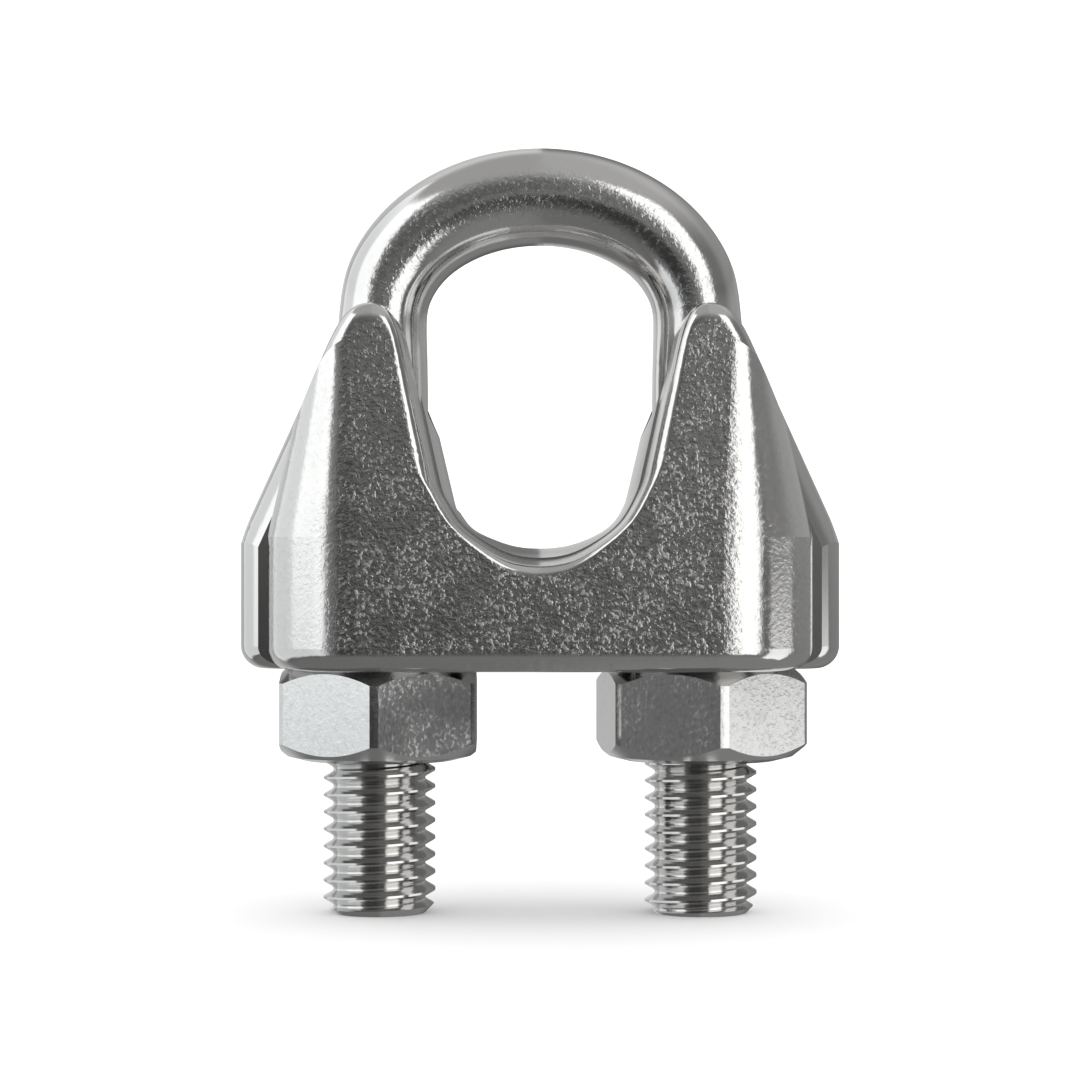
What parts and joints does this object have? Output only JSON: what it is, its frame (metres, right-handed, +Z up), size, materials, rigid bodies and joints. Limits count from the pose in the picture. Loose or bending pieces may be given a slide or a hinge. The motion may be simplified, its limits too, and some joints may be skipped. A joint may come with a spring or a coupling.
{
  "type": "wire rope clip",
  "caption": "Stainless steel wire rope clip: threaded u-bolt, cast saddle with a rope groove and two hexagon nuts that draw the saddle up against the rope.",
  "frame": {"origin": "midway between the two legs, in the plane of the leg ends", "axes": "+Z up the legs to the arch, X across the legs, Y along the rope; the front is -Y"},
  "size_m": [0.0526, 0.024, 0.0672],
  "materials": {
    "u_bolt_steel": "tumbled bright stainless steel rod, thread rolled",
    "saddle_steel": "cast stainless steel, tumbled to a pebbled sheen, parting rib polished",
    "nut_steel": "bright pressed stainless steel, chamfered ends"
  },
  "bodies": {
    "u_bolt": {"u_bolt": "u_bolt_steel"},
    "saddle": {"saddle": "saddle_steel"},
    "nut_left": {"nut_left": "nut_steel"},
    "nut_right": {"nut_right": "nut_steel"}
  },
  "joints": [
    {"name": "saddle_slide", "type": "slide", "parent": "u_bolt", "child": "saddle", "axis": [0, 0, 1], "range_m": [-0.0135, 0.0075]},
    {"name": "nut_left_turn", "type": "hinge", "parent": "saddle", "child": "nut_left", "pos_m": [-0.01413, 0, 0.01744], "axis": [0, 0, 1], "range_deg": [-3241, 1801]},
    {"name": "nut_right_turn", "type": "hinge", "parent": "saddle", "child": "nut_right", "pos_m": [0.01413, 0, 0.01744], "axis": [0, 0, 1], "range_deg": [-3241, 1801]}
  ],
  "couplings": [
    {"joint": "nut_left_turn", "follows": "saddle_slide", "rad_per_m": 4188.8},
    {"joint": "nut_right_turn", "follows": "saddle_slide", "rad_per_m": 4188.8}
  ]
}
